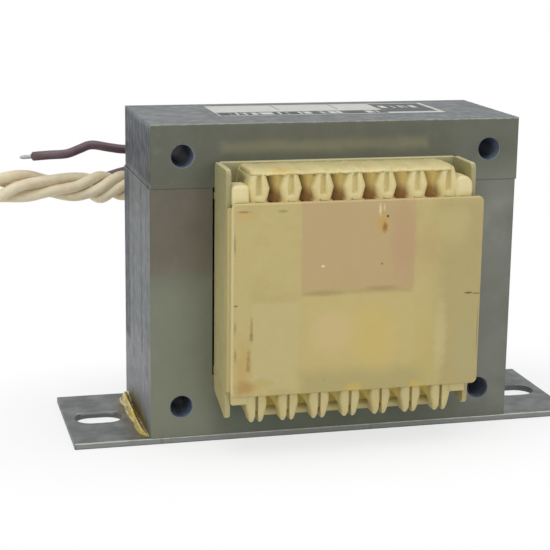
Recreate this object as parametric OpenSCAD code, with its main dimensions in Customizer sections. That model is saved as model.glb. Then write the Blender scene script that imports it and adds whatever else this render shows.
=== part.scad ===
// Laminated mains transformer on a slotted foot plate.
// An E and I core, a moulded coil former with forked terminal posts,
// translucent shrouds and covers, and flying leads at the rear.
// Origin: middle of the underside of the foot plate. +X right, +Y rear, +Z up.

/* [Core] */
// Width of an outer limb; the tongue is twice as wide and the yokes are as high
limb_w = 10; // [8:0.5:14]
// Width of one winding window
window_w = 10; // [9:0.5:14]
// Height of the winding windows
window_h = 30; // [24:1:44]
// Thickness of the stack of laminations
stack_d = 25; // [16:1:45]
// Diameter of the four clamping holes through the stack
clamp_hole_d = 3.6; // [2.5:0.1:5]

/* [Foot plate] */
// How far each foot stands out from the core
foot_l = 12; // [11:0.5:25]
// Thickness of the plate
plate_t = 1; // [0.8:0.1:2.5]
// Distance from the end of a foot to the middle of its slot
slot_inset = 5.5; // [5:0.1:5.8]
// Length of a foot slot
slot_l = 7.8; // [6:0.1:8.4]
// Width of a foot slot
slot_w = 5.5; // [3.2:0.1:5.8]
// Width of the resin bead between the core and a foot
bead_w = 1.6; // [1:0.1:1.6]
// Height of the resin bead on the side of the core
bead_h = 2.2; // [1:0.1:4]

/* [Coil former] */
// How far the former stands out from the face of the core
former_reach = 9.3; // [8.6:0.1:12]
// Wall of the tube around the tongue
tube_wall = 0.8; // [0.6:0.1:1.2]
// Thickness of the two flanges
flange_t = 1; // [0.7:0.1:1.8]
// Play between the former and the core
former_gap = 0.2; // [0.1:0.05:0.4]
// Headroom left above the former, which rests on the lower yoke
former_headroom = 0.6; // [0:0.1:1]
// Play between the coil and the edges of the flanges
coil_inset = 0.4; // [0.3:0.1:1.5]
// Radius of the outer corners of the coil
coil_r = 4; // [1:0.5:5]

/* [Terminal combs] */
// Number of posts in a comb
post_count = 7; // [3:2:7]
// Distance between the middles of two posts
post_pitch = 5; // [4.6:0.1:5.1]
// Height of a lower post, which ends in two free tips
post_h = 5.6; // [5:0.1:6]
// Height of an upper post, whose tips are fused into a bar
fused_h = 4.9; // [4.6:0.1:5.2]
// Thickness of that bar and of the posts' heads
fused_t = 0.9; // [0.6:0.1:1]
// Depth of a post in front of its rail
post_d = 2.6; // [1.6:0.1:3]
// Width of a post at its foot
post_foot_w = 2.8; // [2.2:0.1:2.9]
// Width of a post at its widest
post_belly_w = 3.4; // [3:0.1:3.6]
// Height of the widest place of a post
post_belly_h = 2.4; // [1.8:0.1:2.8]
// Width over the two tips of a post
post_tip_w = 2.2; // [1.6:0.1:2.4]
// Width of the groove between the two prongs of a lower post
slit_w = 0.5; // [0.3:0.05:0.8]
// Width of the closed groove in an upper post
blind_w = 0.8; // [0.4:0.1:1]
// Depth of both grooves from the front of the post
slit_d = 1.5; // [0.8:0.1:1.6]
// Depth of the notch that parts the two tips of a lower post
notch_h = 1.3; // [0.8:0.1:1.6]
// Thickness of the bar along the roof, behind the posts
rail_t = 1.2; // [0.8:0.1:1.6]
// Clear height of the wire channels under their roof
channel_h = 3.6; // [3:0.1:3.7]
// Height of the block at each end of a comb
end_block_h = 2.4; // [1.8:0.1:3]
// Width of that block
end_block_w = 2.4; // [1.8:0.1:2.6]
// Radius of its round shoulder
end_block_r = 1.2; // [0.5:0.1:1.6]

/* [Shrouds and covers] */
// Wall of a shroud
shroud_wall = 0.8; // [0.6:0.1:1.2]
// How far the shroud stands above and below the flanges
shroud_rise = 4.9; // [4:0.1:6]
// How far the cheeks stay behind the front of the former
cheek_setback = 0.9; // [0.6:0.1:2]
// How far the lower edge of a cheek rises towards the core
cheek_cut = 2.3; // [1:0.1:3]
// Thickness of a cover
cover_t = 0.8; // [0.6:0.1:1.2]
// How far a cover is wider than the cheeks at each side
cover_lap = 0.2; // [0:0.1:1]
// How far a cover has been set to the right
cover_shift = 0.7; // [0:0.1:0.8]
// Width of the ribs by which a cover sits on the cheeks
cover_rib_w = 0.4; // [0.3:0.1:0.6]
// Distance from the upper flange's outer face down to the cover's top edge
cover_drop = 0; // [0:0.1:1.5]
// Distance from the lower flange's outer face down to the cover's bottom edge
cover_skirt = 1.1; // [0:0.1:1.6]
// Radius of the corners of a cover
cover_r = 0.8; // [0.3:0.1:2]

/* [Leads] */
// Outside diameter of the two dark leads
dark_lead_d = 1.6; // [1:0.1:1.8]
// Outside diameter of the four pale leads
pale_lead_d = 1.9; // [1.2:0.1:1.9]
// Outside diameter of the twisted bundle of pale leads
bundle_d = 4.9; // [4.9:0.1:6]
// Diameter of a stripped conductor
wire_d = 0.8; // [0.5:0.1:1]
// Length of a stripped end
strip_l = 2.4; // [1:0.2:8]

/* [Hidden] */
$fn = 48;
tongue_w = 2 * limb_w;
core_w = 2 * (limb_w + window_w) + tongue_w;
core_h = 2 * limb_w + window_h;
plate_l = core_w + 2 * foot_l;
slot_x = plate_l / 2 - slot_inset;
seam_z = plate_t + limb_w + window_h;
mid_z = plate_t + core_h / 2;
face_y = stack_d / 2;
clamp_x = core_w / 2 - limb_w / 2;
clamp_z = core_h / 2 - limb_w / 2;
former_half_w = tongue_w / 2 + window_w - former_gap;
former_half_h = window_h / 2 - former_gap - former_headroom / 2;
former_z = mid_z - former_headroom / 2;
former_y = face_y + former_reach;
tube_half_w = tongue_w / 2 + former_gap + tube_wall;
tube_half_d = face_y + former_gap + tube_wall;
cheek_in = former_half_w - shroud_wall;
cheek_y = former_y - cheek_setback;
shroud_half_h = former_half_h + shroud_rise;
flange_half_w = cheek_in - former_gap;
coil_half_w = flange_half_w - coil_inset;
coil_half_d = former_y - coil_inset;
rail_y = former_y - post_d - rail_t;
plate_y = face_y + shroud_wall;
rail_gap_w = post_pitch - post_foot_w;
slit_foot = 0.5;
blind_foot = 0.9;
bridge_h = fused_h - fused_t;
post_steps = 8;
tip_r = 0.5;
rail_drop = 0.4;
rail_half_w = flange_half_w - end_block_w / 3;
rail_lean = 1;
rail_round = 0.5;
cover_half_w = former_half_w + cover_lap;
cover_top = former_half_h - cover_drop;
cover_bottom = -former_half_h - cover_skirt;
bead_l = stack_d - 1.6;
notch_d = former_reach - shroud_wall - 2;
eps = 0.01;

// A flat shape in X and Z, given a thickness towards the rear from y0 to y1
module slab(y0, y1) {
  translate([0, y1, 0])
    rotate([90, 0, 0])
      linear_extrude(y1 - y0)
        children();
}

// A rectangle about the origin with round corners
module round_rect(w, h, r) {
  square([w - 2 * r, h], center = true);
  square([w, h - 2 * r], center = true);
  for (sx = [-1, 1], sy = [-1, 1])
    translate([sx * (w / 2 - r), sy * (h / 2 - r)])
      circle(r);
}

// The core: E laminations below, I laminations on top, drilled at the corners
module clamp_holes(z) {
  for (side = [-1, 1])
    translate([side * clamp_x, z])
      circle(d = clamp_hole_d);
}

module e_stack() {
  color("dimgray")
    slab(-face_y, face_y)
      difference() {
        translate([-core_w / 2, plate_t])
          square([core_w, limb_w + window_h]);
        for (side = [-1, 1])
          translate([side * (tongue_w + window_w) / 2, plate_t + limb_w + window_h / 2 + 1])
            square([window_w, window_h + 2], center = true);
        clamp_holes(mid_z - clamp_z);
      }
}

module i_stack() {
  color("slategray")
    slab(-face_y, face_y)
      difference() {
        translate([-core_w / 2, seam_z])
          square([core_w, limb_w]);
        clamp_holes(mid_z + clamp_z);
      }
}

// The foot plate with one slot in each foot, and the resin that holds it
module foot_plate() {
  color("gray")
    linear_extrude(plate_t)
      difference() {
        square([plate_l, stack_d], center = true);
        for (side = [-1, 1])
          translate([side * slot_x, 0])
            slot();
      }
}

module slot() {
  half = (slot_l - slot_w) / 2;
  square([2 * half, slot_w], center = true);
  for (end = [-1, 1])
    translate([end * half, 0])
      circle(d = slot_w);
}

module resin_bead(side) {
  color("goldenrod")
    slab(-bead_l / 2, bead_l / 2)
      translate([side * core_w / 2, plate_t])
        polygon([
          [0, 0],
          [side * bead_w, 0],
          [side * bead_w * 0.6, bead_h * 0.25],
          [side * bead_w * 0.3, bead_h * 0.55],
          [0, bead_h]
        ]);
}

// The coil former: a tube around the tongue with a flange at each end
module flange() {
  difference() {
    union() {
      square([2 * former_half_w, stack_d - 2 * former_gap], center = true);
      square([2 * flange_half_w, 2 * former_y], center = true);
    }
    for (gap = [1 : post_count - 1], face = [-1, 1])
      translate([gap_x(gap), face * (former_y - notch_d / 2)])
        square([rail_gap_w - 0.3, notch_d + eps], center = true);
  }
}

module coil_former() {
  color("wheat")
    difference() {
      union() {
        for (z = [former_z - former_half_h, former_z + former_half_h - flange_t])
          translate([0, 0, z])
            linear_extrude(flange_t)
              flange();
        translate([0, 0, former_z - former_half_h])
          linear_extrude(2 * former_half_h)
            square([2 * tube_half_w, 2 * tube_half_d], center = true);
      }
      translate([0, 0, former_z])
        cube([
          tongue_w + 2 * former_gap,
          stack_d + 2 * former_gap,
          2 * former_half_h + 2
        ], center = true);
    }
}

module coil() {
  color("saddlebrown")
    translate([0, 0, former_z - former_half_h + flange_t])
      linear_extrude(2 * (former_half_h - flange_t))
        difference() {
          round_rect(2 * coil_half_w, 2 * coil_half_d, coil_r);
          square([2 * tube_half_w, 2 * tube_half_d], center = true);
        }
}

// A terminal comb: grooved posts before roofed wire channels, with a block at each end
function post_x(i) = (i - (post_count - 1) / 2) * post_pitch;
function gap_x(i) = post_x(i) - post_pitch / 2;

// Half the width of a post at a height: it swells to the belly, then narrows
function post_half_w(h) =
  h < post_belly_h
    ? post_foot_w / 2 + (post_belly_w - post_foot_w) / 2 * sin(90 * h / post_belly_h)
    : post_belly_w / 2 - (post_belly_w - post_tip_w) / 2
      * pow((h - post_belly_h) / (post_h - tip_r - post_belly_h), 1.15);

function post_flank(top) =
  [for (i = [0 : post_steps])
    let (h = top * i / post_steps)
    [post_half_w(h), h]];

// The right half of a lower post; its inner edge lies inset from the middle
module half_fork(inset) {
  prong_w = (post_tip_w - slit_w) / 2;
  polygon(concat(
    [[inset, slit_foot], [0, slit_foot], [0, 0]],
    post_flank(post_h - tip_r),
    [[post_tip_w / 2 - prong_w * 0.25, post_h - tip_r * 0.25],
      [post_tip_w / 2 - prong_w * 0.5, post_h],
      [post_tip_w / 2 - prong_w * 0.75, post_h - tip_r * 0.4],
      [inset, post_h - notch_h]]
  ));
}

// The right half of an upper post, with half of its closed groove
module half_fused(inset) {
  shoulder_h = fused_h - tip_r;
  polygon(concat(
    [[0, bridge_h], [inset, bridge_h], [inset, blind_foot], [0, blind_foot], [0, 0]],
    post_flank(shoulder_h),
    [[post_half_w(shoulder_h) - tip_r, fused_h], [0, fused_h]]
  ));
}

module half_post(fused, inset) {
  if (fused)
    half_fused(inset);
  else
    half_fork(inset);
}

module post(fused) {
  for (side = [0, 1])
    mirror([side, 0, 0]) {
      slab(-former_y, -former_y + slit_d)
        half_post(fused, fused ? blind_w / 2 : slit_w / 2);
      slab(-former_y + slit_d, -rail_y - rail_t / 2)
        half_post(fused, 0);
    }
}

// The bar into which the tips of the upper posts have been fused, and its end walls
module fused_bar() {
  top = fused_h - rail_drop;
  reach = rail_half_w - rail_lean - rail_round;
  slab(-former_y + 0.3, -rail_y - rail_t / 2)
    translate([-reach, bridge_h])
      square([2 * reach, top - bridge_h]);
  for (side = [0, 1])
    mirror([side, 0, 0])
      slab(-former_y + 0.6, -rail_y - rail_t / 2)
        polygon([
          [rail_half_w - 3, 0],
          [rail_half_w, 0],
          [rail_half_w - rail_lean, top - rail_round],
          [rail_half_w - rail_lean - rail_round, top],
          [rail_half_w - 3, top]
        ]);
}

// The outline of the block behind the posts: leaning ends and cut upper corners
module rail_outline(top) {
  foot = rail_half_w;
  head = foot - rail_lean;
  polygon([
    [-foot, 0],
    [-head, top - rail_round],
    [-head + rail_round, top],
    [head - rail_round, top],
    [head, top - rail_round],
    [foot, 0]
  ]);
}

module channel_block(top) {
  difference() {
    slab(-rail_y - rail_t, -plate_y)
      rail_outline(top);
    for (gap = [1 : post_count - 1])
      slab(-former_y, -plate_y + 1)
        translate([gap_x(gap) - rail_gap_w / 2, -1])
          square([rail_gap_w, channel_h + 1]);
  }
}

// A block with a round shoulder on its outer side
module end_block_outline() {
  translate([flange_half_w - end_block_w, 0]) {
    square([end_block_w, end_block_h - end_block_r]);
    square([end_block_w - end_block_r, end_block_h]);
    translate([end_block_w - end_block_r, end_block_h - end_block_r])
      circle(end_block_r);
  }
}

// Drawn at the upper front; upside and face are 1 or -1 and turn it to its place
module comb(upside, face) {
  color("cornsilk")
    translate([0, 0, former_z + upside * former_half_h])
      mirror([0, 0, (1 - upside) / 2])
        mirror([0, (1 - face) / 2, 0]) {
          channel_block((upside > 0 ? fused_h : post_h) - rail_drop);
          if (upside > 0)
            fused_bar();
          for (i = [0 : post_count - 1])
            translate([post_x(i), 0, 0])
              post(upside > 0);
          for (side = [0, 1])
            mirror([side, 0, 0])
              slab(-former_y, -rail_y)
                end_block_outline();
        }
}

// A shroud: two cheeks, joined above and below by a plate on the yokes
module shroud(face) {
  color("darkkhaki")
    mirror([0, (1 - face) / 2, 0])
      translate([0, 0, former_z]) {
        for (side = [-1, 1])
          translate([side * (cheek_in + shroud_wall / 2), 0, 0])
            rotate([90, 0, 90])
              linear_extrude(shroud_wall, center = true)
                cheek_outline();
        for (end = [-1, 1])
          translate([0, -face_y - shroud_wall / 2, end * (former_half_h + shroud_rise / 2)])
            cube([2 * cheek_in + eps, shroud_wall, shroud_rise], center = true);
      }
}

module cheek_outline() {
  depth = cheek_y - face_y;
  translate([-face_y - depth / 2, 0])
    difference() {
      square([depth, 2 * shroud_half_h], center = true);
      for (end = [-1, 1])
        translate([-depth / 2 + 1, end * (shroud_half_h - 1)])
          difference() {
            translate([-1, 0])
              square([2, 4], center = true);
            translate([0, -end])
              square([2, 2 + eps], center = true);
            circle(1);
          }
      polygon([
        [depth / 2 + eps, -shroud_half_h - eps],
        [depth / 2 + eps, -shroud_half_h + cheek_cut],
        [depth / 2 - 3.5, -shroud_half_h + cheek_cut * 0.35],
        [-depth / 2 + 1, -shroud_half_h - eps]
      ]);
    }
}

// A cover: a flat plate with a rib behind each side, which meets the cheek
module cover(face) {
  height = cover_top - cover_bottom;
  rib_x = cheek_in + shroud_wall / 2;
  color("khaki")
    mirror([0, (1 - face) / 2, 0])
      translate([0, 0, former_z + (cover_top + cover_bottom) / 2]) {
        translate([cover_shift, 0, 0])
          slab(-former_y - cover_t, -former_y)
            round_rect(2 * cover_half_w, height, cover_r);
        for (side = [-1, 1])
          translate([side * rib_x, 0, 0])
            slab(-former_y - eps, -cheek_y)
              square([cover_rib_w, height - 2 * cover_r], center = true);
      }
}

// Leads: round tubes swept along smooth routes that pass through the rear comb
lead_z = former_z + former_half_h + pale_lead_d / 2 + 0.05;
lead_y = former_y + cover_t - 0.4;
start_y = rail_y - 2;
bundle_x = -core_w / 2 + 12;
bundle_y = lead_y + 4;
bundle_z = lead_z - 6.1;
strand_r = (bundle_d - pale_lead_d) / 2;

// Each route starts in a channel behind the posts, leaves through its gap
// and turns to the left; drop is how far it has come down by then
function exit_route(gap, drop) = [
  [gap_x(gap), start_y, lead_z],
  [gap_x(gap), lead_y, lead_z],
  [gap_x(gap) - 0.5, lead_y + 2, lead_z - 0.1 * drop],
  [gap_x(gap) - 2, lead_y + 3.4, lead_z - 0.45 * drop],
  [gap_x(gap) - 4, lead_y + 4, lead_z - drop]
];
upper_dark_route = concat(exit_route(1, 0), [
  [-core_w / 2 + 3, bundle_y, lead_z + 0.35],
  [-core_w / 2 - 0.3, bundle_y, lead_z + 0.75],
  [-core_w / 2 - 3.6, bundle_y, lead_z + 1.3],
  [-core_w / 2 - 5.7, bundle_y, lead_z + 0.65],
  [-core_w / 2 - 8, bundle_y, lead_z - 0.15],
  [-core_w / 2 - 11.2, bundle_y, lead_z - 0.3],
  [-core_w / 2 - 14.4, bundle_y, lead_z - 0.5]
]);
lower_dark_route = concat(exit_route(2, 0.6), [
  [gap_x(2) - 10, bundle_y + 2.2, lead_z - 2.2],
  [-core_w / 2 + 3, bundle_y + 3.6, lead_z - 4],
  [-core_w / 2 - 4, bundle_y + 3.8, lead_z - 5.9],
  [-core_w / 2 - 12, bundle_y + 3.8, lead_z - 6.5]
]);

// The pale leads drop over the edge of the cover and lie along it, four square
function pale_route(gap, dy, dz) = concat(exit_route(gap, 2.4), [
  [gap_x(gap) - 8, bundle_y + dy / 2, bundle_z + 1.5 + dz * 0.7],
  [gap_x(gap) - 13, bundle_y + dy, bundle_z + dz],
  [bundle_x, bundle_y + dy, bundle_z + dz]
]);
pale_routes = [
  pale_route(3, 0, strand_r),
  pale_route(4, strand_r, 0),
  pale_route(5, -strand_r, 0),
  pale_route(6, 0, -strand_r)
];
bundle_foot = bundle_d / 2 + 0.3;
bundle_route = [
  [bundle_x, bundle_y, bundle_z],
  [-core_w / 2 - 6, bundle_y, bundle_z + 0.2],
  [-core_w / 2 - 20, bundle_y, bundle_z + 0.2],
  [-core_w / 2 - 30, bundle_y, bundle_z - 3],
  [-core_w / 2 - 38, bundle_y + 1, bundle_z * 0.62],
  [-core_w / 2 - 43, bundle_y + 1, bundle_z * 0.34],
  [-core_w / 2 - 51, bundle_y + 1, bundle_foot + 0.8],
  [-core_w / 2 - 62, bundle_y + 1, bundle_foot]
];

// Points on a smooth curve through a route, with the given steps to a stretch
function through(a, b, c, d, t) =
  0.5 * (2 * b + (c - a) * t + (2 * a - 5 * b + 4 * c - d) * t * t
    + (3 * b - a - 3 * c + d) * t * t * t);
function at(route, i) =
  i < 0 ? 2 * route[0] - route[1]
  : i >= len(route) ? 2 * route[len(route) - 1] - route[len(route) - 2]
  : route[i];
function smooth(route, steps) = concat(
  [for (i = [0 : len(route) - 2], s = [0 : steps - 1])
    through(at(route, i - 1), at(route, i), at(route, i + 1), at(route, i + 2), s / steps)],
  [route[len(route) - 1]]
);
function unit(v) = v / norm(v);
function heading(line, i) =
  unit(line[min(i + 1, len(line) - 1)] - line[max(i - 1, 0)]);

// A tube of the given diameter along a line of points, as one closed surface
module tube(line, d, sides = 8) {
  count = len(line);
  rings = [
    for (i = [0 : count - 1])
      let (
        ahead = heading(line, i),
        across = unit(cross(ahead, [0.15, 0.1, 1])),
        up = cross(across, ahead)
      )
      for (s = [0 : sides - 1])
        line[i] + d / 2 * (across * cos(360 * s / sides) + up * sin(360 * s / sides))
  ];
  skin = [
    for (i = [0 : count - 2], s = [0 : sides - 1])
      let (n = (s + 1) % sides)
      [i * sides + s, i * sides + n, (i + 1) * sides + n, (i + 1) * sides + s]
  ];
  near_end = [for (s = [sides - 1 : -1 : 0]) s];
  far_end = [for (s = [0 : sides - 1]) (count - 1) * sides + s];
  polyhedron(rings, concat(skin, [near_end], [far_end]));
}

// A stripped conductor that carries on past the last point of a route
module tip(route) {
  last = route[len(route) - 1];
  ahead = unit(last - route[len(route) - 2]);
  tube([last, last + ahead * strip_l], wire_d);
}

module dark_lead(route) {
  color("rosybrown")
    tube(smooth(route, 1), dark_lead_d);
}

module dark_tip(route) {
  color("silver")
    tip(route);
}

module pale_lead(i) {
  color("beige")
    tube(smooth(pale_routes[i], 1), pale_lead_d);
}

module pale_bundle() {
  color("beige")
    tube(smooth(bundle_route, 2), bundle_d, 12);
}

module pale_tips() {
  for (turn = [0 : 3])
    color("silver")
      translate(strand_r * [0, cos(90 * turn + 45), sin(90 * turn + 45)])
        tip(bundle_route);
}

e_stack();
i_stack();
foot_plate();
resin_bead(-1);  // left_resin_bead
resin_bead(1);  // right_resin_bead
coil_former();
coil();
comb(1, 1);  // front_upper_comb
comb(-1, 1);  // front_lower_comb
comb(1, -1);  // rear_upper_comb
comb(-1, -1);  // rear_lower_comb
shroud(1);  // front_shroud
shroud(-1);  // rear_shroud
cover(1);  // front_cover
cover(-1);  // rear_cover
dark_lead(upper_dark_route);  // upper_dark_lead
dark_lead(lower_dark_route);  // lower_dark_lead
pale_lead(0);  // pale_lead_1
pale_lead(1);  // pale_lead_2
pale_lead(2);  // pale_lead_3
pale_lead(3);  // pale_lead_4
pale_bundle();
dark_tip(upper_dark_route);  // upper_dark_tip
dark_tip(lower_dark_route);  // lower_dark_tip
pale_tips();
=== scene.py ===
# A small mains transformer: E and I laminations on a slotted foot plate, a coil
# former with forked terminal posts, translucent shrouds and covers, and flying
# leads. Lengths are written in millimetres and scaled once, when a mesh is made.
# The front faces -Y and the leads come out at the rear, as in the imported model.
from collections import namedtuple
import bpy
import numpy as np
from mathutils import Matrix, Vector


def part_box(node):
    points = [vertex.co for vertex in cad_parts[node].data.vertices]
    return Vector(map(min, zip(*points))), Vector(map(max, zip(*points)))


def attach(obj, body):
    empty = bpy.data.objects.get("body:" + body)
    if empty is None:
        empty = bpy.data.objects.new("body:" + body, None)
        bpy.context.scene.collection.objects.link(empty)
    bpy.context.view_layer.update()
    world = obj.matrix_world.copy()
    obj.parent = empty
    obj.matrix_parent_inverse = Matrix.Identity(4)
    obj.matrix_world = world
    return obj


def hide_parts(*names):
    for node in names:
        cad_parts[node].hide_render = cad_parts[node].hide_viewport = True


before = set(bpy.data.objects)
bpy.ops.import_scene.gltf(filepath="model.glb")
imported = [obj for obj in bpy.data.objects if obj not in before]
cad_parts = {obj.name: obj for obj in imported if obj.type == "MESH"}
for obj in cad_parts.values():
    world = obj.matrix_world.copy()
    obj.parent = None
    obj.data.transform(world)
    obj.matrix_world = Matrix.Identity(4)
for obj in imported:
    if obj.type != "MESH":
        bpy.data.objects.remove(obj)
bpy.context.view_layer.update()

# Camera
# The camera stands left of the front and a little above the core, turned by less
# than a degree, with a lens long enough to keep the uprights nearly parallel.
MM = 0.001
view_side, view_height, view_roll = np.radians([-14.41, 12.99, 0.73])
view_distance = 254.2 * MM
looked_at = Vector((-6.78, 0, 23.79)) * MM
backward = Vector((
    np.sin(view_side) * np.cos(view_height),
    -np.cos(view_side) * np.cos(view_height),
    np.sin(view_height),
))
level_right = (-backward).cross(Vector((0, 0, 1))).normalized()
level_up = level_right.cross(-backward)
rightward = level_right * np.cos(view_roll) + level_up * np.sin(view_roll)
upward = level_up * np.cos(view_roll) - level_right * np.sin(view_roll)
camera_data = bpy.data.cameras.new("camera")
camera_data.sensor_width = 36
camera_data.lens = 99.96
camera_data.clip_start = 5 * MM
camera = bpy.data.objects.new("camera", camera_data)
camera.matrix_world = (
    Matrix.Translation(looked_at + backward * view_distance)
    @ Matrix((rightward, upward, backward)).transposed().to_4x4()
)
bpy.context.scene.collection.objects.link(camera)
bpy.context.scene.camera = camera
bpy.context.scene.view_settings.view_transform = "Standard"

# Studio
# A white room: an even sky, one broad lamp overhead and two soft ones before the
# object, above a white floor that takes a faint shadow close to the object.
sky_light = 0.55
floor_reach = 3000
floor_gap = 0.02
shadow_shown = 0.3
shadow_near, shadow_far = 16, 44


def node(tree, kind, inputs=None, **settings):
    """Adds a shader node; inputs gives its sockets a constant or another node's output."""
    made = tree.nodes.new("ShaderNode" + kind)
    for name, value in settings.items():
        setattr(made, name, value)
    for name, value in (inputs or {}).items():
        if isinstance(value, bpy.types.NodeSocket):
            tree.links.new(value, made.inputs[name])
        else:
            made.inputs[name].default_value = value
    return made


def calc(tree, operation, first, second):
    """One step of arithmetic between two values."""
    return node(tree, "Math", {0: first, 1: second}, operation=operation).outputs[0]


def seen_directly(tree):
    """1 for rays from the camera, mirrors and glass, 0 for rays that carry light."""
    path = node(tree, "LightPath")
    mirrored = calc(tree, "MAXIMUM", path.outputs["Is Glossy Ray"],
                    path.outputs["Is Transmission Ray"])
    return calc(tree, "MAXIMUM", path.outputs["Is Camera Ray"], mirrored)


world = bpy.data.worlds.new("white_room")
world.use_nodes = True
sky = world.node_tree
background = sky.nodes["Background"]
background.inputs["Color"].default_value = (1, 1, 1, 1)
sky_strength = node(sky, "MapRange", {"Value": seen_directly(sky), "To Min": sky_light,
                                      "To Max": 1.0})
sky.links.new(sky_strength.outputs[0], background.inputs["Strength"])
bpy.context.scene.world = world

for lamp_name, place, watts, width in (
    ("overhead_lamp", (-40, -60, 330), 0.42, 320),
    ("left_lamp", (-300, -260, 160), 0.22, 200),
    ("front_lamp", (160, -360, 140), 0.25, 220),
):
    lamp_data = bpy.data.lights.new(lamp_name, "AREA")
    lamp_data.energy = watts
    lamp_data.size = width * MM
    lamp = bpy.data.objects.new(lamp_name, lamp_data)
    lamp.location = Vector(place) * MM
    lamp.rotation_euler = (looked_at - lamp.location).to_track_quat("-Z", "Y").to_euler()
    bpy.context.scene.collection.objects.link(lamp)

floor_corners = np.array([[-1, -1, 0], [1, -1, 0], [1, 1, 0], [-1, 1, 0]]) * floor_reach * MM
floor_corners[:, 2] = -floor_gap * MM
floor_mesh = bpy.data.meshes.new("floor")
floor_mesh.from_pydata(floor_corners.tolist(), [], [(0, 1, 2, 3)])
floor_paint = bpy.data.materials.new("white_floor")
floor_paint.use_nodes = True
floor_tree = floor_paint.node_tree
floor_tree.nodes.clear()
lit_floor = node(floor_tree, "BsdfDiffuse", {"Color": (0.9, 0.9, 0.9, 1)})
white_floor = node(floor_tree, "Emission", {"Color": (1, 1, 1, 1), "Strength": 1.0})
floor_place = node(floor_tree, "TexCoord").outputs["Object"]
from_middle = node(floor_tree, "Mapping", {"Vector": floor_place, "Scale": (0.5, 1, 1)})
away = node(floor_tree, "VectorMath", {0: from_middle.outputs[0]}, operation="LENGTH")
shadow_share = node(floor_tree, "MapRange", {
    "Value": away.outputs["Value"], "From Min": shadow_near * MM, "From Max": shadow_far * MM,
    "To Min": shadow_shown, "To Max": 0.0}, interpolation_type="SMOOTHSTEP")
plain_share = calc(floor_tree, "MULTIPLY", seen_directly(floor_tree),
                   calc(floor_tree, "SUBTRACT", 1.0, shadow_share.outputs[0]))
floor_look = node(floor_tree, "MixShader", {0: plain_share, 1: lit_floor.outputs[0],
                                            2: white_floor.outputs[0]})
node(floor_tree, "OutputMaterial", {"Surface": floor_look.outputs[0]})
floor_mesh.materials.append(floor_paint)
floor = bpy.data.objects.new("floor", floor_mesh)
bpy.context.scene.collection.objects.link(floor)

# Leads
# Six flying leads of plastic-covered wire. Each is soldered inside the rear comb,
# comes out between two posts and turns left: two dark ones run free, four pale
# ones are twisted into a bundle. All end stripped and tinned.


def node_box(name):
    """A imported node's lowest and highest corner, in millimetres."""
    return np.round(np.array(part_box(name)) / MM, 2)


core_left = node_box("e_stack")[0, 0]
lead_height = 41.2
lead_start_y, lead_exit_y = 16, 22.2
bundle_y, bundle_height = 26.2, 35.1
bundle_start = core_left + 12
bundle_foot = 2.75
dark_lead_width, pale_lead_width = 1.6, 1.9
bare_length, bare_radius = 1.8, 0.32

# A shell is a mesh as whole arrays: its points, the corners of all its faces in one row,
# how many corners each face has, and the number of each face's finish.
Shell = namedtuple("Shell", "points corners sizes finish")


def colour(red, green, blue):
    """A screen colour, 0 to 255, as the linear values that a shader takes."""
    seen = np.array([red, green, blue]) / 255
    linear = np.where(seen <= 0.04045, seen / 12.92, ((seen + 0.055) / 1.055) ** 2.4)
    return (*linear.tolist(), 1.0)


def unit(vectors):
    """The same directions, each of length one."""
    return vectors / np.linalg.norm(vectors, axis=-1, keepdims=True)


def smooth_line(route, spacing):
    """Catmull-Rom curve through the route: on the stretch from b to c, with a before
    and d after, half of 2b + (c-a)t + (2a-5b+4c-d)t^2 + (3b-a-3c+d)t^3. It is then
    walked at even spacing."""
    route = np.asarray(route, float)
    padded = np.vstack([2 * route[0] - route[1], route, 2 * route[-1] - route[-2]])
    t = np.linspace(0, 1, 24, endpoint=False)[None, :, None]
    a, b, c, d = (padded[i:len(padded) - 3 + i, None, :] for i in range(4))
    curve = 0.5 * (2 * b + (c - a) * t + (2 * a - 5 * b + 4 * c - d) * t ** 2
                   + (3 * b - a - 3 * c + d) * t ** 3)
    curve = np.vstack([curve.reshape(-1, 3), route[-1]])
    walked = np.concatenate([[0], np.cumsum(np.linalg.norm(np.diff(curve, axis=0), axis=1))])
    stops = np.linspace(0, walked[-1], max(4, int(walked[-1] / spacing)) + 1)
    return np.stack([np.interp(stops, walked, curve[:, k]) for k in range(3)], axis=1)


def line_length(line):
    """Sum of the steps along a line."""
    return float(np.linalg.norm(np.diff(line, axis=0), axis=1).sum())


def bell(where, middle, width):
    """A bell curve: exp(-((where - middle) / width)^2)."""
    return np.exp(-((where - middle) / width) ** 2)


def skin(rings, closed=True, finish=0):
    """Quads between neighbouring rings of a grid of points, with a face on each end."""
    count, sides = rings.shape[:2]
    index = np.arange(count * sides).reshape(count, sides)
    after = np.roll(index, -1, axis=1)
    corners = np.stack([index[:-1], after[:-1], after[1:], index[1:]], axis=-1).ravel()
    sizes = np.full((count - 1) * sides, 4)
    if closed:
        corners = np.concatenate([corners, index[0, ::-1], index[-1]])
        sizes = np.append(sizes, [sides, sides])
    return Shell(rings.reshape(-1, 3), corners, sizes, np.full(len(sizes), finish))


def flipped(shell):
    """The same shell with its faces turned round."""
    return shell._replace(corners=shell.corners[::-1], sizes=shell.sizes[::-1],
                          finish=shell.finish[::-1])


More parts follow.
